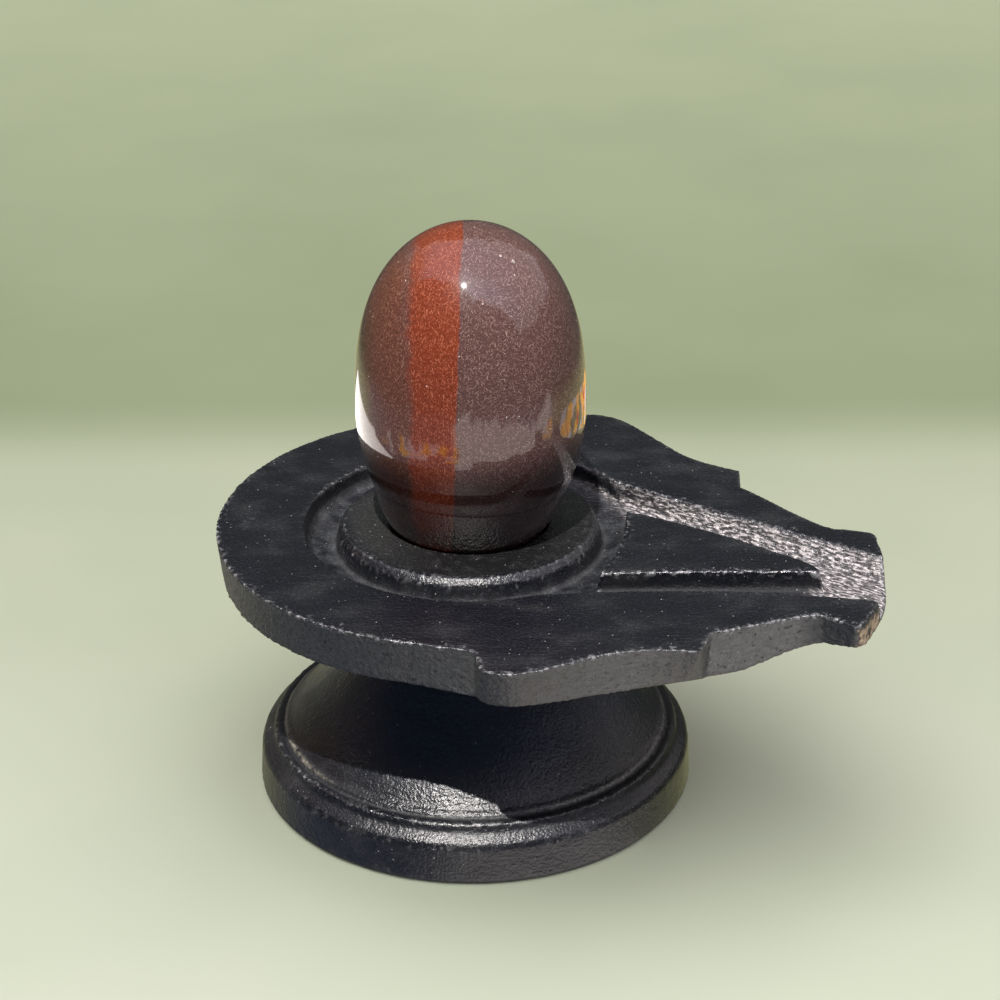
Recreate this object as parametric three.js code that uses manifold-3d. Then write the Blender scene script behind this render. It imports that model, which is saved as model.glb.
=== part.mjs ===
// A polished shiva lingam stone resting in its black stone yoni base. Millimetres, +Z up.
// The origin is the centre of the round foot's underside, and the spout points along +X.
import * as THREE from 'three';
import { mergeVertices } from 'three/addons/utils/BufferGeometryUtils.js';
import Module from 'manifold-3d';

// Foot: a nearly upright band, a small moulding, a thin rim and a hollow-sided cone up to the neck.
const footRadius = 45.3;
const bandHeight = 7.9;
const bandTopRadius = 44.8;
const rimRadius = 39.9;
const rimHeight = 12.9;
const neckRadius = 17;
const neckFillet = 2.4;

// Plate: a flat slab, round behind, drawn out in front to a stepped spout.
const plateTop = 57.8;
const plateThickness = 9.5;
const plateBottom = plateTop - plateThickness;
const plateRadius = 51.7;
const undersideInset = 1.1;
const mouthX = 84;

// Water channel: a ring groove round the low disc, and two arms that run past the island to the mouth.
// The groove is deepest against the disc, and the far arm's outer wall slopes gently down to its floor.
const channelDepth = 3.9;
const channelFloor = plateTop - channelDepth;
const ringFloor = channelFloor - 0.8;
const discRadius = 25.2;
const discCentre = new THREE.Vector2(-0.6, -0.5);
const ringOuterRadius = 34;
const ringCentre = new THREE.Vector2(0.1, -0.4);
const wallLean = 0.5;
const farWallLean = 3.6;

// Lingam stone: an egg that is fullest below its middle, with its blunt end set in a shallow seat.
// Its lower part is fuller on one side, and the seat follows it.
const stoneRadius = 22.9;
const stoneFullestZ = 82.6;
const stoneTopZ = 120.6;
const stoneVirtualBottomZ = 48.1;
const stoneUpperPower = 2.68;
const stoneLowerPower = 1.74;
const seatDepth = 2.6;
const seatRadius = 15.5;
const seatFloorRadius = 14.2;
const restGap = 0.3;
const fullSideAngle = THREE.MathUtils.degToRad(18.1);
const fullSideShare = 0.09;
const fullSideBottomZ = 58;
const fullSideTopZ = 67;

const overshoot = 1;
const roundSegments = 92;

const wasm = await Module();
wasm.setup();

// ---------- solids and booleans ----------

function toSolid(geometry) {
  geometry.deleteAttribute('normal');
  geometry.deleteAttribute('uv');
  const welded = mergeVertices(geometry, 1e-4);
  const vertProperties = new Float32Array(welded.attributes.position.array);
  const triVerts = new Uint32Array(welded.index.array);
  const mesh = new wasm.Mesh({ numProp: 3, vertProperties, triVerts });
  return new wasm.Manifold(mesh);
}

function toGeometry(solid) {
  const mesh = solid.getMesh();
  const geometry = new THREE.BufferGeometry();
  geometry.setAttribute('position', new THREE.BufferAttribute(mesh.vertProperties, 3));
  geometry.setIndex(new THREE.BufferAttribute(mesh.triVerts, 1));
  geometry.computeVertexNormals();
  return geometry;
}

// A closed surface of revolution about Z, from a profile of [radius, height] pairs that runs upward outside.
function turnedSurface(profile, segments) {
  const points = profile.map(([radius, height]) => new THREE.Vector2(radius, height));
  const geometry = new THREE.LatheGeometry(points, segments);
  geometry.rotateX(Math.PI / 2);
  return geometry;
}

function turned(profile) {
  return toSolid(turnedSurface(profile, roundSegments));
}

// A solid between two outlines with the same number of points, one above the other.
function lofted(lower, upper, lowerZ, upperZ) {
  const count = lower.length;
  const ring = (outline, z) => outline.flatMap((point) => [point.x, point.y, z]);
  const index = [];
  for (let i = 0; i < count; i += 1) {
    const next = (i + 1) % count;
    index.push(i, next, count + next, i, count + next, count + i);
  }
  for (const [a, b, c] of THREE.ShapeUtils.triangulateShape(lower, [])) {
    index.push(a, c, b);
  }
  for (const [a, b, c] of THREE.ShapeUtils.triangulateShape(upper, [])) {
    index.push(count + a, count + b, count + c);
  }
  const geometry = new THREE.BufferGeometry();
  const positions = [...ring(lower, lowerZ), ...ring(upper, upperZ)];
  geometry.setAttribute('position', new THREE.Float32BufferAttribute(positions, 3));
  geometry.setIndex(index);
  return toSolid(geometry);
}

// ---------- plate outline ----------

// Where each feature lies along the spout. The sides were cut by eye, so the far one is set further back.
const nearPlaces = {
  side: -1,
  root: 17.5,
  lobe: 20.8,
  bend: 38.6,
  step: 57.2,
  inner: 57.3,
  waist: 75.6,
  corner: 82.3,
  end: mouthX,
};
const nearLowPlaces = { ...nearPlaces, root: 17.9, lobe: 19.1, step: 56.1 };
const farPlaces = {
  side: 1,
  root: 4.8,
  lobe: 7.4,
  bend: 28.8,
  step: 46.4,
  inner: 48.4,
  waist: 70.6,
  corner: 77.4,
  end: mouthX - 4.4,
};

// How far out from the spout's axis each feature reaches, at the plate's top edge and at its underside.
// The hollow between bend and step is a share of the fall between them. The spout's end bulges below.
const nearTop = {
  root: 51,
  lobe: 57.3,
  bend: 46.8,
  outer: 38.8,
  inner: 30.6,
  waist: 18.6,
  corner: 21.4,
  end: 15,
  hollow: 0.3,
  bulge: 0,
};
const nearLow = {
  root: 51.5,
  lobe: 52.9,
  bend: 44.5,
  outer: 32.5,
  inner: 30.8,
  waist: 18.4,
  corner: 18.7,
  end: 12,
  hollow: 0,
  bulge: 1.5,
};
const farTop = { ...nearTop, lobe: 56.4, bend: 45.6, outer: 38.1, inner: 29.8, waist: 17.6, corner: 18.2 };
const farLow = { ...nearLow, lobe: 52.4, waist: 17.4, corner: 16.5, bulge: 1 };

// One side of the plate, from the end of the round to the mouth: a lobe, a step, a hollow and a flared end.
function flank(place, reach) {
  const y = (value) => value * place.side;
  const path = new THREE.Path();
  path.moveTo(place.root, y(reach.root));
  path.lineTo(place.lobe - 0.6, y(reach.lobe - 1));
  path.quadraticCurveTo(place.lobe, y(reach.lobe), place.lobe + 1.6, y(reach.lobe + 0.3));
  const lobeLength = place.bend - place.lobe;
  path.bezierCurveTo(
    place.lobe + 0.38 * lobeLength, y(reach.lobe + 0.8),
    place.lobe + 0.56 * lobeLength, y(reach.lobe - 2.6),
    place.bend, y(reach.bend),
  );
  const hollowLength = place.step - place.bend;
  const fall = reach.bend - reach.outer;
  path.bezierCurveTo(
    place.bend + 0.26 * hollowLength, y(reach.bend - (0.26 + reach.hollow) * fall),
    place.bend + 0.5 * hollowLength, y(reach.bend - (0.5 + reach.hollow) * fall),
    place.step, y(reach.outer),
  );
  path.lineTo(place.inner, y(reach.inner + 0.6));
  const waistLength = place.waist - place.inner;
  path.bezierCurveTo(
    place.inner + 0.24 * waistLength, y(reach.inner - 1.8),
    place.inner + 0.76 * waistLength, y(reach.waist + 0.6),
    place.waist, y(reach.waist),
  );
  path.quadraticCurveTo(place.waist + 2.4, y(reach.waist + 0.6), place.corner, y(reach.corner));
  const endX = place.end + reach.bulge;
  path.quadraticCurveTo(endX - 0.2, y(reach.corner - 0.4), endX, y(reach.end));
  const points = [];
  const curveSteps = 8;
  const cornerSteps = 4;
  for (const curve of path.curves) {
    const small = curve instanceof THREE.QuadraticBezierCurve;
    const steps = curve instanceof THREE.LineCurve ? 1 : (small ? cornerSteps : curveSteps);
    const sampled = curve.getPoints(steps);
    points.push(...(points.length ? sampled.slice(1) : sampled));
  }
  return points;
}

// The whole outline, counter-clockwise: out along the near side, across the gently rounded mouth end,
// back along the far side, round behind.
function plateOutline(near, far, radius) {
  const crownX = mouthX + 2.6;
  const nearEnd = near.at(-1);
  const farEnd = far.at(-1);
  const crown = new THREE.Vector2(crownX, 0);
  const mouth = new THREE.QuadraticBezierCurve(nearEnd, crown, farEnd).getPoints(8).slice(1, -1);
  const startAngle = Math.PI / 2 - 0.02;
  const endAngle = 1.5 * Math.PI + 0.06;
  const round = new THREE.Path().absarc(0, 0, radius, startAngle, endAngle).getPoints(60);
  return [...near, ...mouth, ...far.toReversed(), ...round];
}

// ---------- channel and island outlines ----------

// A closed path's points, without the ones that fall on their neighbour.
function loopPoints(path, divisions) {
  const points = path.getPoints(divisions);
  return points.filter((point, i) => point.distanceTo(points[(i + 1) % points.length]) > 0.02);
}

// The funnel that the two arms fill: it opens from the ring and narrows to the mouth. The far edge leans
// in by less where it meets the ring.
function funnelOutline(nearLean, farLean) {
  const pastMouth = mouthX + 4;
  const insideRing = ringOuterRadius - 4;
  const farAngle = 1.12;
  const nearAngle = -0.96;
  const path = new THREE.Path();
  path.absarc(ringCentre.x, ringCentre.y, insideRing, farAngle, nearAngle, true);
  path.lineTo(19.6, -28 + nearLean);
  path.quadraticCurveTo(56, -11.2 + nearLean, pastMouth, -9.8 + nearLean);
  path.lineTo(pastMouth, 7 - farLean);
  path.quadraticCurveTo(50, 16.5 - farLean, 15 + 0.3 * farLean, 28 - 0.3 * farLean);
  return loopPoints(path, 14);
}

// The island left standing between the arms: a long triangle with a gently hollow end towards the disc.
const islandEndRadius = 60;
const islandEndX = 31.8;
const islandEndY = -5.5;
const islandNearY = -14.7;
const islandFarY = 12.5;
const islandTip = new THREE.Vector2(70.6, -1.4);
const tipLean = 2.4;

function islandOutline(grow) {
  const endRadius = islandEndRadius - grow;
  const endCentreX = islandEndX - islandEndRadius;
  const angleAt = (y) => Math.asin((y - islandEndY) / endRadius);
  const nearAngle = angleAt(islandNearY - grow);
  const farAngle = angleAt(islandFarY + grow);
  const farCornerX = endCentreX + endRadius * Math.cos(farAngle);
  const tipX = islandTip.x + (grow / wallLean) * tipLean;
  const path = new THREE.Path();
  path.absarc(endCentreX, islandEndY, endRadius, farAngle, nearAngle, true);
  path.lineTo(tipX - 2, islandTip.y - 0.6 - grow);
  path.quadraticCurveTo(tipX, islandTip.y - 0.8, tipX, islandTip.y);
  path.quadraticCurveTo(tipX, islandTip.y + 1.4, tipX - 3, islandTip.y + 2.8 + grow);
  path.quadraticCurveTo(46, 10.6 + grow, farCornerX, islandFarY + grow);
  return loopPoints(path, 12);
}

// ---------- the black base ----------

function makeSlab() {
  const lowRadius = plateRadius - undersideInset;
  const lower = plateOutline(flank(nearLowPlaces, nearLow), flank(farPlaces, farLow), lowRadius);
  const upper = plateOutline(flank(nearPlaces, nearTop), flank(farPlaces, farTop), plateRadius);
  return lofted(lower, upper, plateBottom, plateTop);
}

// The underside rises towards the mouth, so the spout's end is little more than half as thick.
function makeSpoutRelief() {
  const pastMouth = mouthX + 8;
  const wellBelow = plateBottom - 6;
  const shape = new THREE.Shape();
  shape.moveTo(60, plateBottom - 0.5);
  shape.bezierCurveTo(68, plateBottom + 1, 68, plateBottom + 3.3, pastMouth, plateBottom + 5.3);
  shape.lineTo(pastMouth, wellBelow);
  shape.lineTo(60, wellBelow);
  const width = 80;
  const curveSegments = 7;
  const geometry = new THREE.ExtrudeGeometry(shape, { depth: width, curveSegments, bevelEnabled: false });
  geometry.rotateX(Math.PI / 2);
  geometry.translate(0, width / 2, 0);
  return toSolid(geometry);
}

function makeRingGroove() {
  const above = plateTop + overshoot;
  const outerWall = [
    [ringOuterRadius - 1.6, channelFloor],
    [ringOuterRadius - 0.6, channelFloor + 1],
    [ringOuterRadius - 0.1, plateTop - 0.5],
    [ringOuterRadius + 0.2, plateTop],
    [ringOuterRadius + 0.2, above],
  ];
  const pan = turned([[0, ringFloor], [discRadius + 2, ringFloor], ...outerWall, [0, above]]);
  const discEdge = [
    [discRadius + 1.8, ringFloor - overshoot],
    [discRadius + 1.8, ringFloor + 0.4],
    [discRadius + 1.1, plateTop - 1.2],
    [discRadius, plateTop],
    [discRadius, above + overshoot],
  ];
  const disc = turned([[0, ringFloor - overshoot], ...discEdge, [0, above + overshoot]]);
  const placedDisc = disc.translate([discCentre.x, discCentre.y, 0]);
  return pan.translate([ringCentre.x, ringCentre.y, 0]).subtract(placedDisc);
}

function makeFunnel() {
  const farRise = farWallLean * (overshoot / channelDepth);
  const lower = funnelOutline(wallLean, farWallLean);
  const upper = funnelOutline(0, -farRise);
  return lofted(lower, upper, channelFloor, plateTop + overshoot);
}

function makeIsland() {
  const lower = islandOutline(wallLean);
  const upper = islandOutline(0);
  return lofted(lower, upper, channelFloor - overshoot, plateTop + 2 * overshoot);
}

// Moves one side of a turned surface outwards, more and more towards the bottom.
function fuller(surface) {
  const side = new THREE.Vector3(Math.cos(fullSideAngle), Math.sin(fullSideAngle), 0);
  const points = surface.attributes.position;
  const point = new THREE.Vector3();
  for (let i = 0; i < points.count; i += 1) {
    point.fromBufferAttribute(points, i);
    const across = Math.min(0, point.dot(side));
    const share = 1 - THREE.MathUtils.smoothstep(point.z, fullSideBottomZ, fullSideTopZ);
    point.addScaledVector(side, across * share * fullSideShare);
    points.setXYZ(i, point.x, point.y, point.z);
  }
  return surface;
}

function makeSeat() {
  const floor = plateTop - seatDepth;
  const above = plateTop + overshoot;
  const wall = [[seatFloorRadius, floor], [seatRadius, plateTop], [seatRadius, above]];
  return toSolid(fuller(turnedSurface([[0, floor], ...wall, [0, above]], roundSegments)));
}

function makeFoot() {
  const neckTop = plateBottom + 3;
  const profile = [
    [0, 0],
    [footRadius - 0.7, 0],
    [footRadius, 0.8],
    [bandTopRadius, bandHeight],
    [bandTopRadius - 0.5, bandHeight + 1],
    [bandTopRadius - 2.4, bandHeight + 2.5],
    [bandTopRadius - 2.9, bandHeight + 3.9],
    [bandTopRadius - 3.9, bandHeight + 4.2],
    [rimRadius + 0.1, rimHeight - 1.1],
    [rimRadius, rimHeight - 0.3],
    [rimRadius - 0.4, rimHeight],
  ];
  const flankTop = plateBottom - neckFillet;
  const flankSteps = 7;
  const hollowPower = 1.5;
  const flankStart = { radius: rimRadius - 1.2, height: rimHeight + 0.4 };
  for (let i = 0; i <= flankSteps; i += 1) {
    const height = THREE.MathUtils.lerp(flankStart.height, flankTop, i / flankSteps);
    const share = (flankTop - height) / (flankTop - flankStart.height);
    profile.push([neckRadius + (flankStart.radius - neckRadius) * share ** hollowPower, height]);
  }
  profile.push([neckRadius + 0.9, plateBottom - 0.8], [neckRadius + 2.2, plateBottom + 0.5]);
  profile.push([neckRadius + 2.2, neckTop], [0, neckTop]);
  return turned(profile);
}

function makeBase() {
  const channel = makeRingGroove().add(makeFunnel()).subtract(makeIsland());
  const plate = makeSlab().subtract(makeSpoutRelief()).subtract(channel);
  const block = makeFoot().add(plate).subtract(makeSeat());
  const material = new THREE.MeshStandardMaterial({ color: 0x23262b, roughness: 0.5, metalness: 0 });
  const base = new THREE.Mesh(toGeometry(block), material);
  base.name = 'yoni_base';
  return base;
}

// ---------- the lingam stone ----------

function stoneRadiusAt(height) {
  const upper = height >= stoneFullestZ;
  const reach = upper ? stoneTopZ - stoneFullestZ : stoneFullestZ - stoneVirtualBottomZ;
  const share = Math.abs(height - stoneFullestZ) / reach;
  const power = upper ? stoneUpperPower : stoneLowerPower;
  return stoneRadius * Math.sqrt(Math.max(0, 1 - share ** power));
}

function makeStone() {
  const restZ = plateTop - seatDepth + restGap;
  const flatSpotRadius = stoneRadiusAt(restZ) - 1.4;
  const profile = [[0, restZ], [flatSpotRadius, restZ], [flatSpotRadius + 0.9, restZ + 0.4]];
  const steps = 24;
  const firstZ = restZ + 1.6;
  const firstAngle = Math.asin((firstZ - stoneFullestZ) / (stoneFullestZ - stoneVirtualBottomZ));
  for (let i = 0; i < steps; i += 1) {
    const angle = THREE.MathUtils.lerp(firstAngle, Math.PI / 2, i / steps);
    const reach = angle > 0 ? stoneTopZ - stoneFullestZ : stoneFullestZ - stoneVirtualBottomZ;
    const height = stoneFullestZ + reach * Math.sin(angle);
    profile.push([stoneRadiusAt(height), height]);
  }
  profile.push([0, stoneTopZ]);
  const segments = 48;
  const material = new THREE.MeshStandardMaterial({ color: 0x6b463f, roughness: 0.12, metalness: 0 });
  const solid = toSolid(fuller(turnedSurface(profile, segments)));
  const stone = new THREE.Mesh(toGeometry(solid), material);
  stone.name = 'lingam_stone';
  return stone;
}

const lingam = new THREE.Group();
lingam.add(makeBase());
lingam.add(makeStone());

export default lingam;
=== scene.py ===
import math
import bmesh
import bpy
import numpy as np
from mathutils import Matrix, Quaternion, Vector, noise


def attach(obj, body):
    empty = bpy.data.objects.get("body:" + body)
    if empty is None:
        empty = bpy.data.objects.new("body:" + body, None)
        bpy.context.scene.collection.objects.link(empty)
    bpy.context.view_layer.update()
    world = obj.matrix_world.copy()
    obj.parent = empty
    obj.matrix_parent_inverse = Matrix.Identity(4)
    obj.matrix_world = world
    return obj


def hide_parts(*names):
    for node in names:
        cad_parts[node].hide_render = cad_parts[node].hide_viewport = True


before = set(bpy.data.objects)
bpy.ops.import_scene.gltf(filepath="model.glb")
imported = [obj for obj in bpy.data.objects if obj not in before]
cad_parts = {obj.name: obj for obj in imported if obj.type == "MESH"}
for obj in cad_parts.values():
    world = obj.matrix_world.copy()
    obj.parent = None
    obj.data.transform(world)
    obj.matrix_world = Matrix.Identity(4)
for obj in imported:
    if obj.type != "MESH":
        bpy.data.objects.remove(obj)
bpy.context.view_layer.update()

# ---------- the camera ----------
# It stands in front of the base and a little towards its spout, and looks down on the plate.
# Lengths are written in millimetres, which mm turns into the scene's metres.

mm = 0.001
scene = bpy.context.scene
camera_aim = Vector((4.4, 4.5, 60.6)) * mm
camera_azimuth = 18.28
camera_elevation = 26.3
camera_roll = math.radians(0.455)
camera_distance = 500 * mm
sensor_width = 36
lens_length = 88.68
nearest_seen = 10 * mm
farthest_seen = 20


def heading_at(azimuth, elevation):
    turn = math.radians(azimuth)
    rise = math.radians(elevation)
    level = math.cos(rise)
    return Vector((math.sin(turn) * level, -math.cos(turn) * level, math.sin(rise)))


towards_camera = heading_at(camera_azimuth, camera_elevation)
level_view = towards_camera.to_track_quat("Z", "Y")
camera_data = bpy.data.cameras.new("camera")
camera_data.sensor_width = sensor_width
camera_data.lens = lens_length
camera_data.clip_start = nearest_seen
camera_data.clip_end = farthest_seen
camera = bpy.data.objects.new("camera", camera_data)
camera.rotation_mode = "QUATERNION"
camera.location = camera_aim + towards_camera * camera_distance
camera.rotation_quaternion = level_view @ Quaternion((0, 0, 1), -camera_roll)
scene.collection.objects.link(camera)
scene.camera = camera
scene.view_settings.view_transform = "Standard"

# ---------- the floor ----------
# One wide sheet of matt paper, pale sage under the object and paler towards the camera with painted light,
# deeper green behind it.
# It lies loose under the foot and takes the object's shadow.

floor_reach = 4.0
floor_drop = 0.05 * mm
painted_light_sage = (0.92, 0.96, 0.72, 1)
pale_sage = (0.52, 0.56, 0.37, 1)
deep_sage = (0.335, 0.385, 0.22, 1)
far_sage = (0.46, 0.51, 0.315, 1)
cloud_shade = (0.9, 0.92, 0.9, 1)
nearest = -230 * mm
tone_change = 168 * mm
tone_softness = 24 * mm
farthest = 640 * mm


def add_node(tree, kind, inputs=None, **settings):
    made = tree.nodes.new(kind)
    for name, value in settings.items():
        setattr(made, name, value)
    for socket, value in (inputs or {}).items():
        if isinstance(value, bpy.types.NodeSocket):
            tree.links.new(value, made.inputs[socket])
        else:
            made.inputs[socket].default_value = value
    return made


def calculate(tree, operation, first, second=0.0, third=0.0):
    return add_node(tree, "ShaderNodeMath", {0: first, 1: second, 2: third}, operation=operation).outputs[0]


def measure(tree, operation, first, second):
    made = add_node(tree, "ShaderNodeVectorMath", {0: first, 1: second}, operation=operation)
    return made.outputs["Value"]


def noise_of(tree, vector, scale, detail=3.0):
    inputs = {"Vector": vector, "Scale": scale, "Detail": detail}
    return add_node(tree, "ShaderNodeTexNoise", inputs).outputs["Fac"]


def ramp_up(tree, value, low, high, kind="SMOOTHSTEP"):
    ends = {"Value": value, "From Min": low, "From Max": high}
    return add_node(tree, "ShaderNodeMapRange", ends, interpolation_type=kind).outputs["Result"]


def mix_colours(tree, share, first, second, how="MIX"):
    settings = {"data_type": "RGBA", "blend_type": how, "clamp_factor": True}
    return add_node(tree, "ShaderNodeMix", {0: share, 6: first, 7: second}, **settings).outputs[2]


def new_material(name):
    material = bpy.data.materials.new(name)
    material.use_nodes = True
    material.node_tree.nodes.clear()
    return material, material.node_tree


def finish_material(tree, surface):
    add_node(tree, "ShaderNodeOutputMaterial", {"Surface": surface})


def link_mesh(name, mesh):
    made = bpy.data.objects.new(name, mesh)
    scene.collection.objects.link(made)
    return made


paper, tree = new_material("sage_paper")
place = add_node(tree, "ShaderNodeTexCoord").outputs["Object"]
away = Vector((-towards_camera.x, -towards_camera.y, 0)).normalized()
depth = measure(tree, "DOT_PRODUCT", place, away)
behind = ramp_up(tree, depth, tone_change - tone_softness, tone_change + tone_softness)
near_to_far = ramp_up(tree, depth, nearest, tone_change, "LINEAR")
back_to_top = ramp_up(tree, depth, tone_change, farthest, "LINEAR")
clouds = ramp_up(tree, noise_of(tree, place, 9.0), 0.3, 0.8)
# Painted light: the paper is paler towards the camera.
paper_tone = mix_colours(tree, near_to_far, painted_light_sage, pale_sage)
paper_tone = mix_colours(tree, behind, paper_tone, mix_colours(tree, back_to_top, deep_sage, far_sage))
paper_tone = mix_colours(tree, clouds, paper_tone, cloud_shade, "MULTIPLY")
matt = add_node(tree, "ShaderNodeBsdfDiffuse", {"Color": paper_tone})
finish_material(tree, matt.outputs[0])

bm = bmesh.new()
bmesh.ops.create_grid(bm, x_segments=1, y_segments=1, size=floor_reach)
bmesh.ops.translate(bm, verts=bm.verts, vec=(0, 0, -floor_drop))
floor_mesh = bpy.data.meshes.new("floor")
bm.to_mesh(floor_mesh)
bm.free()
floor_mesh.materials.append(paper)
floor = link_mesh("floor", floor_mesh)
floor.visible_diffuse = False
floor.visible_glossy = False

# ---------- the light ----------
# A hard lamp high in front lights the object, a wide soft one the paper and a dim one the base's left
# side. Overhead is a pale opening with a ragged rim, darkened before and behind. The polished stone
# also mirrors a white card that lies on its left, and two low rows of coloured petals.

opening_colour = (1.06, 1.04, 1.24, 1)
opening_low_colour = (0.86, 0.8, 0.82, 1)
opening_glare = (1.5, 1.5, 1.85, 1)
opening_left_colour = (0.34, 0.2, 0.14, 1)
opening_floor = math.sin(math.radians(17))
opening_blur = 0.008
glare_heading = heading_at(32, 46)
glare_reach = 24
glare_blur = 0.08
front_shapes = [(heading_at(-22, -3), 66), (heading_at(25, 0), 50)]
back_shape = (heading_at(-163, 20), 33)
shape_blur = 0.006
rag_depth = 0.36
front_surround = (0.075, 0.085, 0.11, 1)
back_surround = (0.07, 0.08, 0.07, 1)
low_surround = (0.2, 0.235, 0.32, 1)
low_side_surround = (0.42, 0.41, 0.28, 1)
low_back_surround = (0.5, 0.5, 0.26, 1)
lit_ground_colour = (1.55, 1.42, 1.35, 1)
lit_ground_top = -math.sin(math.radians(20))
lit_ground_blur = 0.02

world = bpy.data.worlds.new("surround")
world.use_nodes = True
tree = world.node_tree
tree.nodes.clear()
heading = add_node(tree, "ShaderNodeTexCoord").outputs["Generated"]
parts = add_node(tree, "ShaderNodeSeparateXYZ", {0: heading})
east, north, height = (parts.outputs[axis] for axis in "XYZ")
crumbled = {"Vector": heading, "Scale": 5.0, "Detail": 4.0, "Roughness": 0.62}
ragged = add_node(tree, "ShaderNodeTexNoise", crumbled).outputs["Fac"]
ragged = calculate(tree, "MULTIPLY_ADD", ragged, rag_depth, -rag_depth / 2)
ragged_height = calculate(tree, "ADD", height, ragged)


def within_reach(tree, axis, reach, blur):
    along = calculate(tree, "ADD", ragged, measure(tree, "DOT_PRODUCT", heading, axis))
    edge = math.cos(math.radians(reach))
    return ramp_up(tree, along, edge - blur, edge + blur)


opening = ramp_up(tree, ragged_height, opening_floor - opening_blur, opening_floor + opening_blur)
for axis, reach in front_shapes + [back_shape]:
    outside = calculate(tree, "SUBTRACT", 1.0, within_reach(tree, axis, reach, shape_blur))
    opening = calculate(tree, "MULTIPLY", opening, outside)
forward_rise = calculate(tree, "MULTIPLY_ADD", north, -0.6, height)
sky = mix_colours(tree, ramp_up(tree, forward_rise, 0.3, 0.8), opening_low_colour, opening_colour)
sky = mix_colours(tree, within_reach(tree, glare_heading, glare_reach, glare_blur), sky, opening_glare)
sky = mix_colours(tree, ramp_up(tree, east, -0.55, -0.85), sky, opening_left_colour)
surround = mix_colours(tree, ramp_up(tree, north, -0.5, 0.5), front_surround, back_surround)
low_side = mix_colours(tree, ramp_up(tree, height, -0.37, -0.42), low_back_surround, low_side_surround)
low = mix_colours(tree, ramp_up(tree, north, 0.0, 0.3), low_surround, low_side)
low = mix_colours(tree, ramp_up(tree, north, 0.6, 0.8), low, low_back_surround)
low = mix_colours(tree, ramp_up(tree, height, -0.36, -0.26), low, surround)
surround = mix_colours(tree, ramp_up(tree, height, 0.0, -0.15), surround, low)
ground = ramp_up(tree, ragged_height, lit_ground_top + lit_ground_blur, lit_ground_top - lit_ground_blur)
ground = calculate(tree, "MULTIPLY", ground, ramp_up(tree, east, -0.02, 0.05))
ground = calculate(tree, "MULTIPLY", ground, ramp_up(tree, north, 0.3, 0.15))
surround = mix_colours(tree, ground, surround, lit_ground_colour)
glow = mix_colours(tree, opening, surround, sky)
background = add_node(tree, "ShaderNodeBackground", {"Color": glow, "Strength": 1.0})
add_node(tree, "ShaderNodeOutputWorld", {"Surface": background.outputs[0]})
scene.world = world


def add_lamp(name, kind, strength, colour):
    data = bpy.data.lights.new(name, kind)
    data.energy = strength
    data.color = colour
    lamp = bpy.data.objects.new(name, data)
    scene.collection.objects.link(lamp)
    lit_by_it = bpy.data.collections.new("lit_by_" + name)
    lamp.light_linking.receiver_collection = lit_by_it
    return lamp, lit_by_it


def aim_sun(lamp, azimuth, elevation, spread):
    lamp.data.angle = math.radians(spread)
    lamp.rotation_mode = "QUATERNION"
    lamp.rotation_quaternion = heading_at(azimuth, elevation).to_track_quat("Z", "Y")


hard_light, lit_by_hard_light = add_lamp("hard_light", "SUN", strength=5.5, colour=(1.0, 0.96, 0.92))
aim_sun(hard_light, azimuth=6, elevation=64, spread=0.8)
soft_light, lit_by_soft_light = add_lamp("soft_light", "SUN", strength=1.5, colour=(1.0, 1.0, 1.0))
aim_sun(soft_light, azimuth=-30, elevation=62, spread=75)
lit_by_soft_light.objects.link(floor)

card_glow = (1.0, 0.93, 0.88, 1)
card_strength = 3.4
card_corners = [(-205, 150), (-198, -10), (-125, -62), (-95, 150)]
petal_lilac = (0.85, 0.8, 0.85, 1)
petal_gold = (1.5, 0.72, 0.1, 1)
petal_red = (0.9, 0.08, 0.05, 1)
petal_strength = 1.6
petal_stretch = (0.45, 0.45, 0.8)
petal_turn = 8
lit_by_card = bpy.data.collections.new("lit_by_card")


def stand_card(name, panels, material):
    bm = bmesh.new()
    for corners in panels:
        bm.faces.new([bm.verts.new(corner) for corner in corners])
    card_mesh = bpy.data.meshes.new(name)
    bm.to_mesh(card_mesh)
    bm.free()
    card_mesh.materials.append(material)
    card = link_mesh(name, card_mesh)
    card.visible_camera = False
    card.visible_diffuse = False
    card.visible_shadow = False
    card.light_linking.receiver_collection = lit_by_card


def petal_row(start, end, distance, foot, top):
    low = Vector((0, 0, foot * mm))
    high = Vector((0, 0, top * mm))
    for turn in range(start, end, petal_turn):
        near_side = heading_at(turn, 0) * distance * mm
        far_side = heading_at(turn + petal_turn, 0) * distance * mm
        yield near_side + low, far_side + low, far_side + high, near_side + high


white, tree = new_material("white_card")
shine = add_node(tree, "ShaderNodeEmission", {"Color": card_glow, "Strength": card_strength})
finish_material(tree, shine.outputs[0])
stand_card("white_card", [[(x * mm, y * mm, 1 * mm) for x, y in card_corners]], white)

# The dim lamp lies beside the card and shines up, as sunlit paper does.

left_glow, lit_by_left_glow = add_lamp("left_glow", "AREA", strength=0.1, colour=(1.0, 0.95, 0.76))
left_glow.data.shape = "RECTANGLE"
left_glow.data.size = 95 * mm
left_glow.data.size_y = 190 * mm
left_glow.location = (-155 * mm, 55 * mm, 1 * mm)
left_glow.rotation_euler = (math.pi, 0, 0)
left_glow.visible_camera = False

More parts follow.
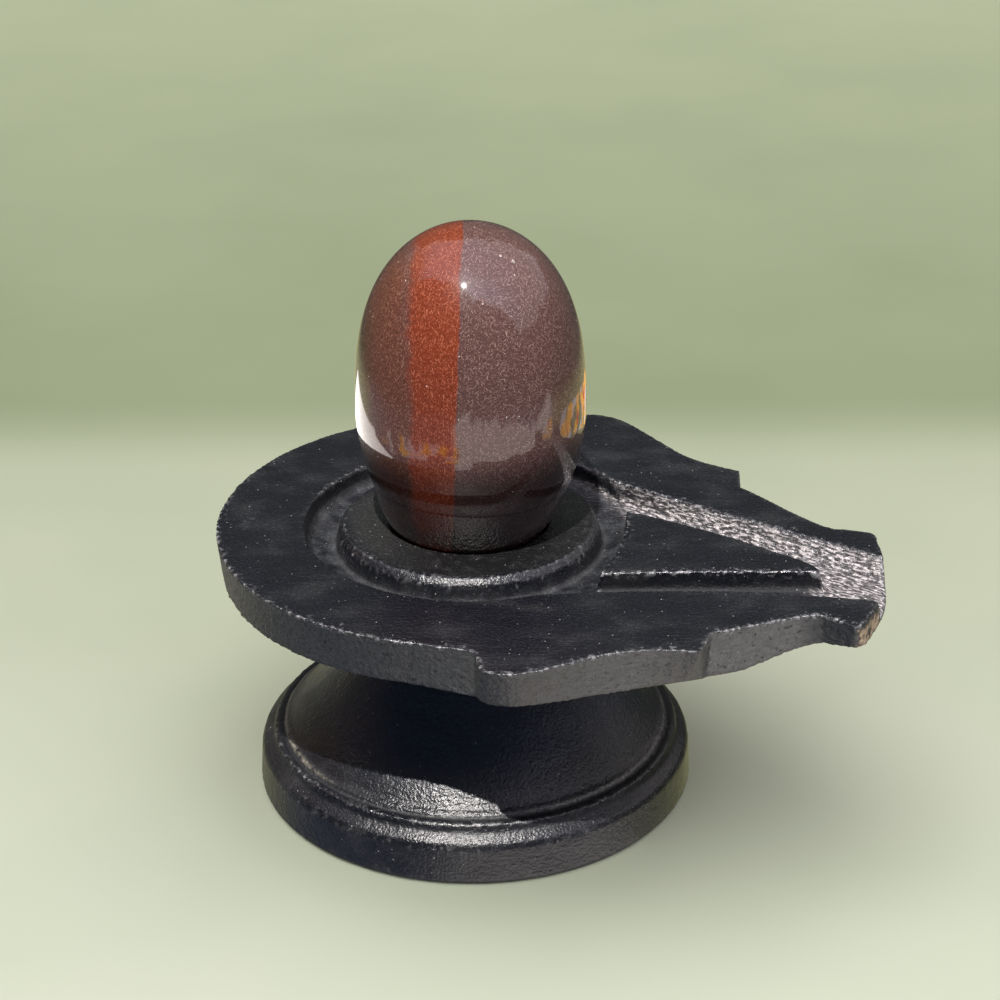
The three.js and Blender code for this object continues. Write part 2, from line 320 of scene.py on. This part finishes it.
petals, tree = new_material("petal_card")
place = add_node(tree, "ShaderNodeTexCoord").outputs["Object"]
upright = add_node(tree, "ShaderNodeMapping", {"Vector": place, "Scale": petal_stretch}).outputs[0]
tint = noise_of(tree, upright, 60.0, 4.0)
petal_tone = mix_colours(tree, ramp_up(tree, tint, 0.47, 0.53), petal_lilac, petal_gold)
petal_tone = mix_colours(tree, ramp_up(tree, tint, 0.6, 0.66), petal_tone, petal_red)
petal_share = ramp_up(tree, noise_of(tree, upright, 110.0, 6.0), 0.45, 0.5)
petal_light = add_node(tree, "ShaderNodeEmission", {"Color": petal_tone, "Strength": petal_strength})
gap = add_node(tree, "ShaderNodeBsdfTransparent")
torn = add_node(tree, "ShaderNodeMixShader", {0: petal_share, 1: gap.outputs[0], 2: petal_light.outputs[0]})
finish_material(tree, torn.outputs[0])
right_row = petal_row(start=84, end=172, distance=160, foot=6, top=30)
left_row = petal_row(start=-72, end=4, distance=120, foot=20, top=40)
stand_card("petal_card", [*right_row, *left_row], petals)

# ---------- the yoni base ----------
# One block of black stone: a round foot and a thick plate with a ring groove and a stepped spout.
# It is carved and rasped by hand, then oiled, so its edges are worn round and its walls stay dry.

plate_underside = 48.3
plate_top = 57.8
channel_floor = 53.9
disc_radius = 25
groove_inside = 26
groove_outside = 34
island_end = 69
spout_start = 5
spout_end = 81
spout_half_width = 30
spout_narrowing = 0.24
foot_rim_radius = 39.9
foot_rim_height = 12.9
face_size = 0.38 * mm
triangle_limit = 196000
down_the_arm = np.array([0.957, -0.291, 0.0])
across_the_arm = np.array([0.291, 0.957, 0.0])
rasp_stroke = 2.6
rasp_spacing = 0.65
rasp_depth = 0.11
chip_size = 0.85
chip_depth = 0.3
swell_size = 7.0
swell_depth = 0.1
ripple_size = 2.6
ripple_depth = 0.035
dent_size = 1.1
dent_depth = 0.05


def mesh_of(obj):
    graph = bpy.context.evaluated_depsgraph_get()
    return bpy.data.meshes.new_from_object(obj.evaluated_get(graph))


def smooth_step(value, low, high):
    share = np.clip((value - low) / (high - low), 0, 1)
    return share * share * (3 - 2 * share)


def read_points(mesh):
    points = np.empty(len(mesh.vertices) * 3, np.float32)
    mesh.vertices.foreach_get("co", points)
    return points.reshape(-1, 3) / mm


def read_normals(mesh):
    normals = np.empty(len(mesh.vertices) * 3, np.float32)
    mesh.vertex_normals.foreach_get("vector", normals)
    return normals.reshape(-1, 3)


def write_points(mesh, points):
    mesh.vertices.foreach_set("co", (points * mm).astype(np.float32).ravel())
    mesh.update()


def spread_over(mesh, values, passes):
    ends = np.empty(len(mesh.edges) * 2, np.int32)
    mesh.edges.foreach_get("vertices", ends)
    first, second = ends.reshape(-1, 2).T
    count = len(mesh.vertices)
    neighbours = np.bincount(first, minlength=count) + np.bincount(second, minlength=count)
    for _ in range(passes):
        columns = []
        for column in values.T:
            total = np.bincount(first, column[second], count) + np.bincount(second, column[first], count)
            columns.append(total / np.maximum(neighbours, 1))
        values = np.array(columns).T
    return values


def bulge_of(mesh, points, normals, passes):
    return np.einsum("ij,ij->i", normals, points - spread_over(mesh, points, passes))


def noise_at(points, size, offset):
    return np.array([noise.noise(Vector(p)) for p in points / size + offset])


def from_axis(points):
    return np.hypot(points[:, 0], points[:, 1])


def rasped_share(points, normals):
    x, y, z = points.T
    below_top = smooth_step(plate_top - 0.15 - z, 0, 0.5)
    above_mouth = smooth_step(z, channel_floor - 1.5, channel_floor - 0.5)
    upward = smooth_step(normals[:, 2], 0.25, 0.5)
    beyond_ring = smooth_step(from_axis(points), groove_outside - 3, groove_outside + 1)
    far_of_island = np.maximum(smooth_step(y, -1, 1), smooth_step(x, island_end, island_end + 3))
    in_spout = (np.abs(y) < spout_half_width) * (x > spout_start)
    return below_top * above_mouth * upward * beyond_ring * far_of_island * in_spout


def outer_wall_share(points, normals):
    x, y, z = points.T
    upright = 1 - smooth_step(np.abs(normals[:, 2]), 0.3, 0.7)
    above_neck = smooth_step(z, plate_underside - 0.5, plate_underside)
    outside_groove = smooth_step(from_axis(points), groove_outside + 6, groove_outside + 12)
    in_spout = (x > 0) * (x < spout_end) * (np.abs(y) < spout_half_width - spout_narrowing * x)
    return upright * above_neck * outside_groove * (1 - in_spout)


def groove_share(points):
    radius = from_axis(points)
    past_disc = smooth_step(radius, groove_inside, groove_inside + 1.5)
    short_of_plate = smooth_step(groove_outside - radius, 0, 1.5)
    low = smooth_step(channel_floor + 1.2 - points[:, 2], 0, 0.6)
    return past_disc * short_of_plate * low * (points[:, 2] > plate_underside + 1.7)


def disc_share(points):
    return smooth_step(disc_radius - from_axis(points), 0, 0.8) * (points[:, 2] > plate_top - 0.5)


# The foot's rim edge away from the front, which carries a painted highlight.
def rim_highlight_share(points):
    from_rim = np.hypot(from_axis(points) - foot_rim_radius, points[:, 2] - foot_rim_height)
    return smooth_step(0.7 - from_rim, 0, 0.4) * smooth_step(np.abs(points[:, 0]), 14, 30)


def mouth_end_share(points):
    x, y, z = points.T
    below_top = smooth_step(plate_top - z, 0.1, 0.7)
    return smooth_step(x, spout_end - 0.2, spout_end + 1.8) * smooth_step(-y, 8.5, 11) * below_top


# The block is given small even faces, and its sharp edges are rounded a little.

base_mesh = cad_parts["yoni_base"].data.copy()
bm = bmesh.new()
bm.from_mesh(base_mesh)
bmesh.ops.remove_doubles(bm, verts=bm.verts, dist=0.001 * mm)
bm.to_mesh(base_mesh)
bm.free()
rough_base = link_mesh("rough_base", base_mesh)
remesh = rough_base.modifiers.new("even_faces", "REMESH")
remesh.mode = "VOXEL"
remesh.voxel_size = face_size
soften = rough_base.modifiers.new("worn_round", "SMOOTH")
soften.factor = 0.5
soften.iterations = 1
fine_mesh = mesh_of(rough_base)
bpy.data.objects.remove(rough_base)

# Where the far arm leaves the ring, the cut's wall is dished by hand, so it is smoothed more.

points = read_points(fine_mesh)
normals = read_normals(fine_mesh)
z = points[:, 2]
rasped = rasped_share(points, normals)
wall = outer_wall_share(points, normals)
beside_ring = (from_axis(points) > groove_outside) * (points[:, 1] > -1)
in_cut = smooth_step(plate_top - 0.5 - z, 0, 0.6) * (z > channel_floor - 0.6)
dished = spread_over(fine_mesh, (beside_ring * in_cut * (1 - wall))[:, None], 2)
points = points + (spread_over(fine_mesh, points, 8) - points) * dished

# The skin swells and dips by a tenth of a millimetre, the rasp scores the arm, and edges are chipped.

lift = noise_at(points, swell_size, 11.3) * swell_depth
lift += noise_at(points, ripple_size, 4.1) * ripple_depth
lift += noise_at(points, dent_size, 7.7) * dent_depth * wall
strokes = [points @ down_the_arm / rasp_stroke, points @ across_the_arm / rasp_spacing, z / rasp_spacing]
lift += noise_at(np.stack(strokes, 1), 1.0, 2.9) * rasp_depth * rasped
at_edge = smooth_step(bulge_of(fine_mesh, points, normals, 6), 0.04, 0.2)
at_edge = at_edge * (1 - rasped) * (from_axis(points) > 20) * smooth_step(-normals[:, 1], 0, 0.4)
lift += (noise_at(points, chip_size, 9.2) - 0.12) * chip_depth * at_edge
above_floor = smooth_step(z, 0.2, 1.2)
off_underside = smooth_step(normals[:, 2], -0.9, -0.6)
write_points(fine_mesh, points + normals * (lift * above_floor * off_underside)[:, None])

triangles = sum(len(face.vertices) - 2 for face in fine_mesh.polygons)
carved = link_mesh("carved_base", fine_mesh)
thin = carved.modifiers.new("fewer_faces", "DECIMATE")
thin.ratio = min(1.0, triangle_limit / triangles)
carved_mesh = mesh_of(carved)
bpy.data.objects.remove(carved)

# Each finish is marked on the mesh, so that the stone's colours can follow the carving.

points = read_points(carved_mesh)
normals = read_normals(carved_mesh)
bulge = bulge_of(carved_mesh, points, normals, 4)
# Painted glints: the pale worn edges are kept mostly to the edges that face the front.
front_facing = 0.12 + 0.88 * smooth_step(-normals[:, 1], -0.1, 0.3)
glint_and_wear = smooth_step(bulge, 0.04, 0.2) * front_facing * smooth_step(normals[:, 2], -0.25, 0.15)
finishes = [
    ("glint_and_wear_edge", glint_and_wear, 1),
    ("dry_wall", outer_wall_share(points, normals), 2),
    ("rasped", rasped_share(points, normals), 1),
    ("bare_end", mouth_end_share(points), 2),
    ("groove_floor", groove_share(points), 2),
    ("crease", smooth_step(-bulge, 0.02, 0.09), 1),
    ("disc_face", disc_share(points), 1),
    ("rim_highlight", rim_highlight_share(points), 0),
]
for name, share, passes in finishes:
    marked = spread_over(carved_mesh, share[:, None], passes)[:, 0]
    layer = carved_mesh.attributes.new(name, "FLOAT", "POINT")
    layer.data.foreach_set("value", marked.astype(np.float32))
carved_mesh.shade_smooth()

oiled_black = (0.0042, 0.0048, 0.007, 1)
greyed_black = (0.0125, 0.0132, 0.0148, 1)
dry_grey = (0.021, 0.0225, 0.0235, 1)
spout_light_grey = (0.062, 0.064, 0.062, 1)
cone_sky_blue = (0.0065, 0.0145, 0.032, 1)
disc_sheen_grey = (0.0075, 0.0075, 0.0078, 1)
disc_sheen_pale = (0.018, 0.018, 0.018, 1)
rim_highlight_tan = (0.13, 0.125, 0.105, 1)
rasped_black = (0.045, 0.042, 0.043, 1)
rasped_pale_highlight = (0.37, 0.345, 0.34, 1)
groove_sheen_grey = (0.028, 0.03, 0.033, 1)
glint_and_wear_grey = (0.3, 0.3, 0.305, 1)
scraped = (1.35, 1.35, 1.35, 1)
freckle_sparkle_gain = (3.2, 3.2, 3.2, 1)
pit_black = (0.25, 0.25, 0.25, 1)
bare_tan = (0.34, 0.26, 0.17, 1)
rust_fleck = (0.6, 0.2, 0.03, 1)
mica_sparkle_white = (0.3, 0.3, 0.3, 1)
grain_turn = 18
rasp_turn = -17
spout_light_from = -5 * mm
spout_light_to = 62 * mm
spout_light_fade_from = 70 * mm
spout_light_fade_to = 75 * mm
disc_sheen_from = 2 * mm
disc_sheen_to = -14 * mm
neck_from = 46.5 * mm
neck_to = 45 * mm
band_top = 14 * mm
cone_from = 23 * mm
foot_grime_from = 1.6 * mm
foot_grime_to = 0.2 * mm
fleck_place = Vector((84.8, -2.4, 52.4)) * mm
fleck_inside = 1.4 * mm
fleck_outside = 1.9 * mm
fleck_raggedness = 1.6 * mm

black_stone, tree = new_material("black_stone")
place = add_node(tree, "ShaderNodeTexCoord").outputs["Object"]
parts = add_node(tree, "ShaderNodeSeparateXYZ", {0: place})
along_spout = parts.outputs["X"]
height = parts.outputs["Z"]


def finish_at(name):
    return add_node(tree, "ShaderNodeAttribute", attribute_name=name).outputs["Fac"]


def lying_along(turn, length):
    turned = add_node(tree, "ShaderNodeMapping", {"Vector": place, "Rotation": (0, 0, -math.radians(turn))})
    drawn_out = {"Vector": turned.outputs[0], "Scale": (1 / length, 1, 1)}
    return add_node(tree, "ShaderNodeMapping", drawn_out).outputs[0]


def both(first, second):
    return calculate(tree, "MULTIPLY", first, second)


# The finishes marked on the mesh, and the stone's own patterns, whose scales are in cells per metre.

glint_and_wear_share = finish_at("glint_and_wear_edge")
dry = finish_at("dry_wall")
rasped = finish_at("rasped")
patches = noise_of(tree, lying_along(grain_turn, 1.6), 150.0, 6.0)
grain = noise_of(tree, place, 1900.0)
pits = noise_of(tree, place, 900.0)
tool_marks = noise_of(tree, lying_along(grain_turn, 9.0), 1500.0, 2.0)
rasp_cuts = noise_of(tree, lying_along(rasp_turn, 3.2), 2100.0, 2.0)

# Oiled faces: blue-black on the plate, bluer on the foot's cone with a painted sky reflection, and a pale
# painted sheen on the disc.

colour = mix_colours(tree, ramp_up(tree, patches, 0.45, 0.75), oiled_black, greyed_black)
# Painted sky reflection: the cone's upper part, in the plate's shade, is tinted blue.
on_cone = both(ramp_up(tree, height, neck_from, neck_to), ramp_up(tree, height, band_top, cone_from))
colour = mix_colours(tree, on_cone, colour, cone_sky_blue)
# Painted sheen: the disc's face is lifted to a mottled grey, paler to the left.
disc_sheen = mix_colours(tree, ramp_up(tree, along_spout, disc_sheen_from, disc_sheen_to), disc_sheen_grey, disc_sheen_pale)
disc_sheen_blots = ramp_up(tree, noise_of(tree, place, 420.0, 5.0), 0.5, 0.7)
disc_sheen = mix_colours(tree, disc_sheen_blots, disc_sheen, disc_sheen_pale)
colour = mix_colours(tree, finish_at("disc_face"), colour, disc_sheen)

# Dry walls, paler towards the spout with painted light that fades out again at its end.

wall_tone_and_light = mix_colours(tree, ramp_up(tree, along_spout, spout_light_from, spout_light_to), dry_grey, spout_light_grey)
wall_tone_and_light = mix_colours(tree, ramp_up(tree, along_spout, spout_light_fade_from, spout_light_fade_to), wall_tone_and_light, dry_grey)
wall_tone_and_light = mix_colours(tree, ramp_up(tree, tool_marks, 0.35, 0.65), wall_tone_and_light, scraped, "MULTIPLY")
colour = mix_colours(tree, dry, colour, wall_tone_and_light)

# A painted sheen in the groove, fresh rasp cuts in the far arm with painted highlights on their ridges, and
# front edges worn pale with painted glints.

# Painted sheen: the groove floor is greyed in soft patches.
groove_sheen = both(finish_at("groove_floor"), ramp_up(tree, noise_of(tree, place, 260.0, 4.0), 0.35, 0.7))
colour = mix_colours(tree, groove_sheen, colour, groove_sheen_grey)
# The rasped stone is paler, and the ridges of its cuts carry painted highlights.
rasp_tone_highlight = mix_colours(tree, ramp_up(tree, rasp_cuts, 0.44, 0.64), rasped_black, rasped_pale_highlight)
colour = mix_colours(tree, rasped, colour, rasp_tone_highlight)
# Painted glints: worn edges are sparked pale in broken dots.
colour = mix_colours(tree, both(glint_and_wear_share, ramp_up(tree, pits, 0.5, 0.6)), colour, glint_and_wear_grey)
# Painted highlight: a thin pale line along the rounded rim of the foot's cone.
rim_highlight = both(finish_at("rim_highlight"), ramp_up(tree, pits, 0.3, 0.5))
colour = mix_colours(tree, rim_highlight, colour, rim_highlight_tan)

# Small marks: dark pits on the dry walls, and on the oiled faces pale freckles of grain and specks of mica
# that are painted as sparkle.

dark_pits = both(dry, ramp_up(tree, noise_of(tree, place, 1100.0, 4.0), 0.58, 0.68))
colour = mix_colours(tree, dark_pits, colour, pit_black, "MULTIPLY")
freckle_sparkle = both(ramp_up(tree, grain, 0.5, 0.8), calculate(tree, "MULTIPLY_ADD", dry, -0.7, 1.0))
colour = mix_colours(tree, freckle_sparkle, colour, freckle_sparkle_gain, "MULTIPLY")
cells = add_node(tree, "ShaderNodeTexVoronoi", {"Vector": place, "Scale": 620.0}, feature="F1")
chosen = add_node(tree, "ShaderNodeSeparateColor", {0: cells.outputs["Color"]}).outputs[0]
mica_sparkle = both(ramp_up(tree, cells.outputs["Distance"], 0.11, 0.05), ramp_up(tree, chosen, 0.2, 1.0))
mica_sparkle = both(mica_sparkle, calculate(tree, "MULTIPLY_ADD", dry, -0.8, 1.0))
colour = mix_colours(tree, mica_sparkle, colour, mica_sparkle_white)

# The mouth's near corner is knocked bare, with one fleck of rust beside it.

blotch = noise_of(tree, lying_along(grain_turn, 0.6), 700.0, 4.0)
bare = calculate(tree, "SUBTRACT", finish_at("bare_end"), 0.95)
bare = ramp_up(tree, calculate(tree, "MULTIPLY_ADD", blotch, 0.9, bare), 0.35, 0.55)
colour = mix_colours(tree, bare, colour, bare_tan)
from_fleck = measure(tree, "DISTANCE", place, fleck_place)
from_fleck = calculate(tree, "MULTIPLY_ADD", pits, fleck_raggedness, from_fleck)
colour = mix_colours(tree, ramp_up(tree, from_fleck, fleck_outside, fleck_inside), colour, rust_fleck)

# Oil leaves a satin gloss: duller on dry and bare stone, in creases and by the floor, brighter on wear.

crease = both(finish_at("crease"), calculate(tree, "SUBTRACT", 1.0, rasped))
foot_grime = ramp_up(tree, height, foot_grime_from, foot_grime_to)
roughness = calculate(tree, "MULTIPLY_ADD", patches, 0.2, 0.22)
for share, change in ((dry, 0.2), (glint_and_wear_share, -0.15), (bare, 0.2), (crease, 0.5), (foot_grime, 0.6)):
    roughness = calculate(tree, "MULTIPLY_ADD", share, change, roughness)
skin_bump = add_node(tree, "ShaderNodeBump", {
    "Strength": 1.0,
    "Distance": 0.15 * mm,
    "Height": calculate(tree, "MULTIPLY_ADD", tool_marks, 0.5, grain),
})
pit_bump = add_node(tree, "ShaderNodeBump", {
    "Strength": calculate(tree, "MULTIPLY_ADD", dry, 0.65, 0.3),
    "Distance": 0.4 * mm,
    "Height": pits,
    "Normal": skin_bump.outputs[0],
})
rasp_bump = add_node(tree, "ShaderNodeBump", {
    "Strength": rasped,
    "Distance": 0.5 * mm,
    "Height": rasp_cuts,
    "Normal": pit_bump.outputs[0],
})
skin = add_node(tree, "ShaderNodeBsdfPrincipled", {
    "Base Color": colour,
    "Roughness": roughness,
    "IOR": 1.5,
    "Specular IOR Level": 0.62,
    "Normal": rasp_bump.outputs[0],
})
finish_material(tree, skin.outputs[0])

carved_mesh.materials.clear()
carved_mesh.materials.append(black_stone)
base = link_mesh("yoni_base_carved", carved_mesh)
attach(base, "root")
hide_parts("yoni_base")
lit_by_hard_light.objects.link(base)
lit_by_left_glow.objects.link(base)

# ---------- the lingam stone ----------
# A river stone of banded jasper, ground to an egg and polished to a mirror. It stands on its blunt
# end in the shallow seat of the base, held by its weight alone.

stone_radius = 22.9
stone_fullest = 82.6
stone_top = 120.6
stone_rest = 55.5
stone_virtual_bottom = 48.1
upper_power = 2.68
lower_power = 1.74
flat_inset = 1.2
side_bottom = stone_rest + 1.4
fuller_side_turn = math.radians(18.1)
fuller_side_share = 0.09
fuller_side_bottom = 58
fuller_side_top = 67
turns = 288
rings = 190


def stone_radius_at(height):
    if height > stone_fullest:
        share = (height - stone_fullest) / (stone_top - stone_fullest)
        return stone_radius * math.sqrt(max(0.0, 1 - share ** upper_power))
    share = (stone_fullest - height) / (stone_fullest - stone_virtual_bottom)
    return stone_radius * math.sqrt(1 - share ** lower_power)


flat_radius = stone_radius_at(stone_rest) - flat_inset
outline = [(flat_radius * share, stone_rest) for share in (0, 0.3, 0.6, 0.85, 1.0)]
outline += [(flat_radius + 0.6, stone_rest + 0.15), (flat_radius + 1.1, stone_rest + 0.7)]
middle = (side_bottom + stone_top) / 2
half = (stone_top - side_bottom) / 2
for ring in range(rings):
    ring_height = middle - half * math.cos(math.pi * ring / rings)
    outline.append((stone_radius_at(ring_height), ring_height))
outline.append((0, stone_top))

bm = bmesh.new()
corners = [bm.verts.new((radius * mm, 0, height_here * mm)) for radius, height_here in outline]
edges = [bm.edges.new(pair) for pair in zip(corners, corners[1:])]
bmesh.ops.spin(
    bm, geom=edges, cent=(0, 0, 0), axis=(0, 0, 1), dvec=(0, 0, 0),
    angle=2 * math.pi, steps=turns, use_merge=True, use_duplicate=False,
)
bmesh.ops.remove_doubles(bm, verts=bm.verts, dist=0.002 * mm)
bmesh.ops.recalc_face_normals(bm, faces=bm.faces)
rightwards = Vector((math.cos(fuller_side_turn), math.sin(fuller_side_turn), 0))
for vertex in bm.verts:
    lower_share = 1 - smooth_step(vertex.co.z / mm, fuller_side_bottom, fuller_side_top)
    leftward = min(0.0, vertex.co.dot(rightwards))
    vertex.co += rightwards * (leftward * fuller_side_share * float(lower_share))
stone_mesh = bpy.data.meshes.new("lingam_stone")
bm.to_mesh(stone_mesh)
bm.free()
stone_mesh.shade_smooth()

mauve_brown = (0.115, 0.056, 0.049, 1)
plum_brown = (0.105, 0.055, 0.045, 1)
shaded_brown = (0.092, 0.047, 0.038, 1)
rust_brown = (0.125, 0.045, 0.027, 1)
olive_brown = (0.075, 0.047, 0.02, 1)
rust_red = (0.2, 0.037, 0.014, 1)
sand_shade = (0.5, 0.47, 0.47, 1)
pale_thread = (0.34, 0.225, 0.2, 1)
brown_thread = (0.34, 0.17, 0.11, 1)
rust_thread = (0.48, 0.16, 0.085, 1)
# Painted shade for the stone's lower end, lighter within the band.
lower_shade_tone = (0.31, 0.29, 0.31, 1)
lower_shade_band_tone = (0.55, 0.48, 0.48, 1)
lower_shade_from = 82.5
lower_shade_to = 74.0
quartz_white = (0.75, 0.7, 0.66, 1)
quartz_places = [Vector((8.4, -6.0, 117.5)), Vector((10.6, -5.4, 116.3))]
band_right_at_top = -1.6
band_right_lean = 0.04
band_right_level = 110
band_left_at_middle = -12.2
band_left_bow = 0.0012
band_middle = 84
rusty_side = (-9.0, -14.0)
olive_side = (-17.0, -22.0)
shaded_side = (12.0, 20.0)
skin_lean = (1, 1, 0.36)
fibre_half_width = 0.07
fibre_bend = (0.4, 0.4, 0.4)
mid_grey = (0.5, 0.5, 0.5)

jasper, tree = new_material("polished_jasper")
place = add_node(tree, "ShaderNodeTexCoord").outputs["Object"]
in_mm = add_node(tree, "ShaderNodeVectorMath", {0: place, "Scale": 1 / mm}, operation="SCALE").outputs[0]
across = measure(tree, "DOT_PRODUCT", in_mm, rightwards)
level = add_node(tree, "ShaderNodeSeparateXYZ", {0: in_mm}).outputs["Z"]
waver = calculate(tree, "SUBTRACT", noise_of(tree, place, 55.0, 2.0), 0.5)
fine_waver = calculate(tree, "SUBTRACT", noise_of(tree, place, 500.0), 0.5)


def wavering(value, coarse, fine):
    value = calculate(tree, "MULTIPLY_ADD", fine_waver, fine, value)
    return calculate(tree, "MULTIPLY_ADD", waver, coarse, value)


# The brick-red band runs from the crown to the foot. Its right side is crisp, its left side softer.

right_edge = band_right_at_top - band_right_lean * band_right_level
right_edge = calculate(tree, "MULTIPLY_ADD", level, band_right_lean, right_edge)
past_right_edge = calculate(tree, "SUBTRACT", wavering(across, 1.2, 0.8), right_edge)
from_middle = calculate(tree, "SUBTRACT", level, band_middle)
left_edge = calculate(tree, "MULTIPLY", both(from_middle, from_middle), band_left_bow)
left_edge = calculate(tree, "ADD", left_edge, band_left_at_middle)
past_left_edge = calculate(tree, "SUBTRACT", wavering(across, 5.0, 2.0), left_edge)
short_of_right_edge = calculate(tree, "SUBTRACT", 1.0, ramp_up(tree, past_right_edge, -0.3, 0.3))
in_band = both(ramp_up(tree, past_left_edge, -0.6, 1.6), short_of_right_edge)


def turn_vector(operation, first, second=(0, 0, 0)):
    return add_node(tree, "ShaderNodeVectorMath", {0: first, 1: second}, operation=operation).outputs[0]


def straight_across(first, second):
    return turn_vector("NORMALIZE", turn_vector("CROSS_PRODUCT", first, second))


def short_of(vector, direction, end, blur):
    reach = calculate(tree, "ABSOLUTE", measure(tree, "DOT_PRODUCT", vector, direction))
    return ramp_up(tree, reach, end, end * blur)


# Fine pale fibres lie in the skin in three lengths, each in a cell of its own and turned its own way.

outward = turn_vector("SUBTRACT", in_mm, (0, 0, stone_fullest))
outward = turn_vector("MULTIPLY", outward, skin_lean)
bend_inputs = {"Vector": in_mm, "Scale": 1.1, "Detail": 0.0}
bend = add_node(tree, "ShaderNodeTexNoise", bend_inputs).outputs["Color"]
bend = turn_vector("MULTIPLY", turn_vector("SUBTRACT", bend, mid_grey), fibre_bend)
bent = turn_vector("ADD", bend, in_mm)


def fibres_of(per_mm, half_length):
    cell = add_node(tree, "ShaderNodeTexVoronoi", {"Vector": bent, "Scale": per_mm}, feature="F1")
    offset = turn_vector("SUBTRACT", bent, cell.outputs["Position"])
    chance = turn_vector("SUBTRACT", cell.outputs["Color"], mid_grey)
    lengthways = straight_across(outward, chance)
    sideways = straight_across(outward, lengthways)
    within_length = short_of(offset, lengthways, half_length, 0.6)
    within_width = short_of(offset, sideways, fibre_half_width, 0.3)
    bright = add_node(tree, "ShaderNodeSeparateColor", {0: cell.outputs["Color"]}).outputs[0]
    return both(both(within_length, within_width), both(bright, bright))


long_fibres = fibres_of(per_mm=0.8, half_length=0.6)
short_fibres = fibres_of(per_mm=1.3, half_length=0.38)
fine_fibres = fibres_of(per_mm=2.1, half_length=0.22)
fibre = calculate(tree, "MAXIMUM", long_fibres, short_fibres)
fibre = calculate(tree, "MAXIMUM", fibre, fine_fibres)

# The body is mauve-brown, darker to the right with painted shade, rustier and then olive to the left, and
# sandy in its grain.

sand = noise_of(tree, place, 3300.0)
cloudy = ramp_up(tree, noise_of(tree, place, 70.0), 0.35, 0.75)
rusty = ramp_up(tree, calculate(tree, "MULTIPLY_ADD", waver, 5.0, across), *rusty_side)
olive = ramp_up(tree, calculate(tree, "MULTIPLY_ADD", waver, 4.0, across), *olive_side)
body = mix_colours(tree, cloudy, mauve_brown, plum_brown)
body = mix_colours(tree, ramp_up(tree, across, *shaded_side), body, shaded_brown)
body = mix_colours(tree, rusty, body, rust_brown)
body = mix_colours(tree, olive, body, olive_brown)
body = mix_colours(tree, in_band, body, rust_red)
body = mix_colours(tree, ramp_up(tree, sand, 0.3, 0.7, "LINEAR"), body, sand_shade, "MULTIPLY")
threads = mix_colours(tree, rusty, pale_thread, brown_thread)
threads = mix_colours(tree, in_band, threads, rust_thread)
colour = mix_colours(tree, fibre, body, threads)

# The lower end is darkened with painted shade, less within the band, and a few quartz crystals sit in the
# skin.

lower_shade_share = ramp_up(tree, calculate(tree, "MULTIPLY_ADD", waver, 5.0, level), lower_shade_from, lower_shade_to)
lower_end_shade = mix_colours(tree, in_band, lower_shade_tone, lower_shade_band_tone)
colour = mix_colours(tree, lower_shade_share, colour, lower_end_shade, "MULTIPLY")
cells = add_node(tree, "ShaderNodeTexVoronoi", {"Vector": in_mm, "Scale": 0.55}, feature="F1")
chosen = add_node(tree, "ShaderNodeSeparateColor", {0: cells.outputs["Color"]}).outputs[1]
quartz = both(ramp_up(tree, cells.outputs["Distance"], 0.1, 0.05), ramp_up(tree, chosen, 0.78, 0.8))
for quartz_place in quartz_places:
    from_quartz = measure(tree, "DISTANCE", in_mm, quartz_place)
    near = ramp_up(tree, calculate(tree, "MULTIPLY_ADD", fine_waver, 1.2, from_quartz), 0.5, 0.3)
    quartz = calculate(tree, "MAXIMUM", quartz, both(near, ramp_up(tree, sand, 0.45, 0.6)))
colour = mix_colours(tree, both(quartz, 0.8), colour, quartz_white)
polish = add_node(tree, "ShaderNodeBsdfPrincipled", {
    "Base Color": colour,
    "Roughness": 0.4,
    "Specular IOR Level": 0.08,
    "Coat Weight": 1.0,
    "Coat Roughness": 0.055,
    "Coat IOR": 1.55,
})
finish_material(tree, polish.outputs[0])

stone_mesh.materials.append(jasper)
stone = link_mesh("lingam_stone_polished", stone_mesh)
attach(stone, "root")
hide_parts("lingam_stone")
lit_by_hard_light.objects.link(stone)
lit_by_card.objects.link(stone)
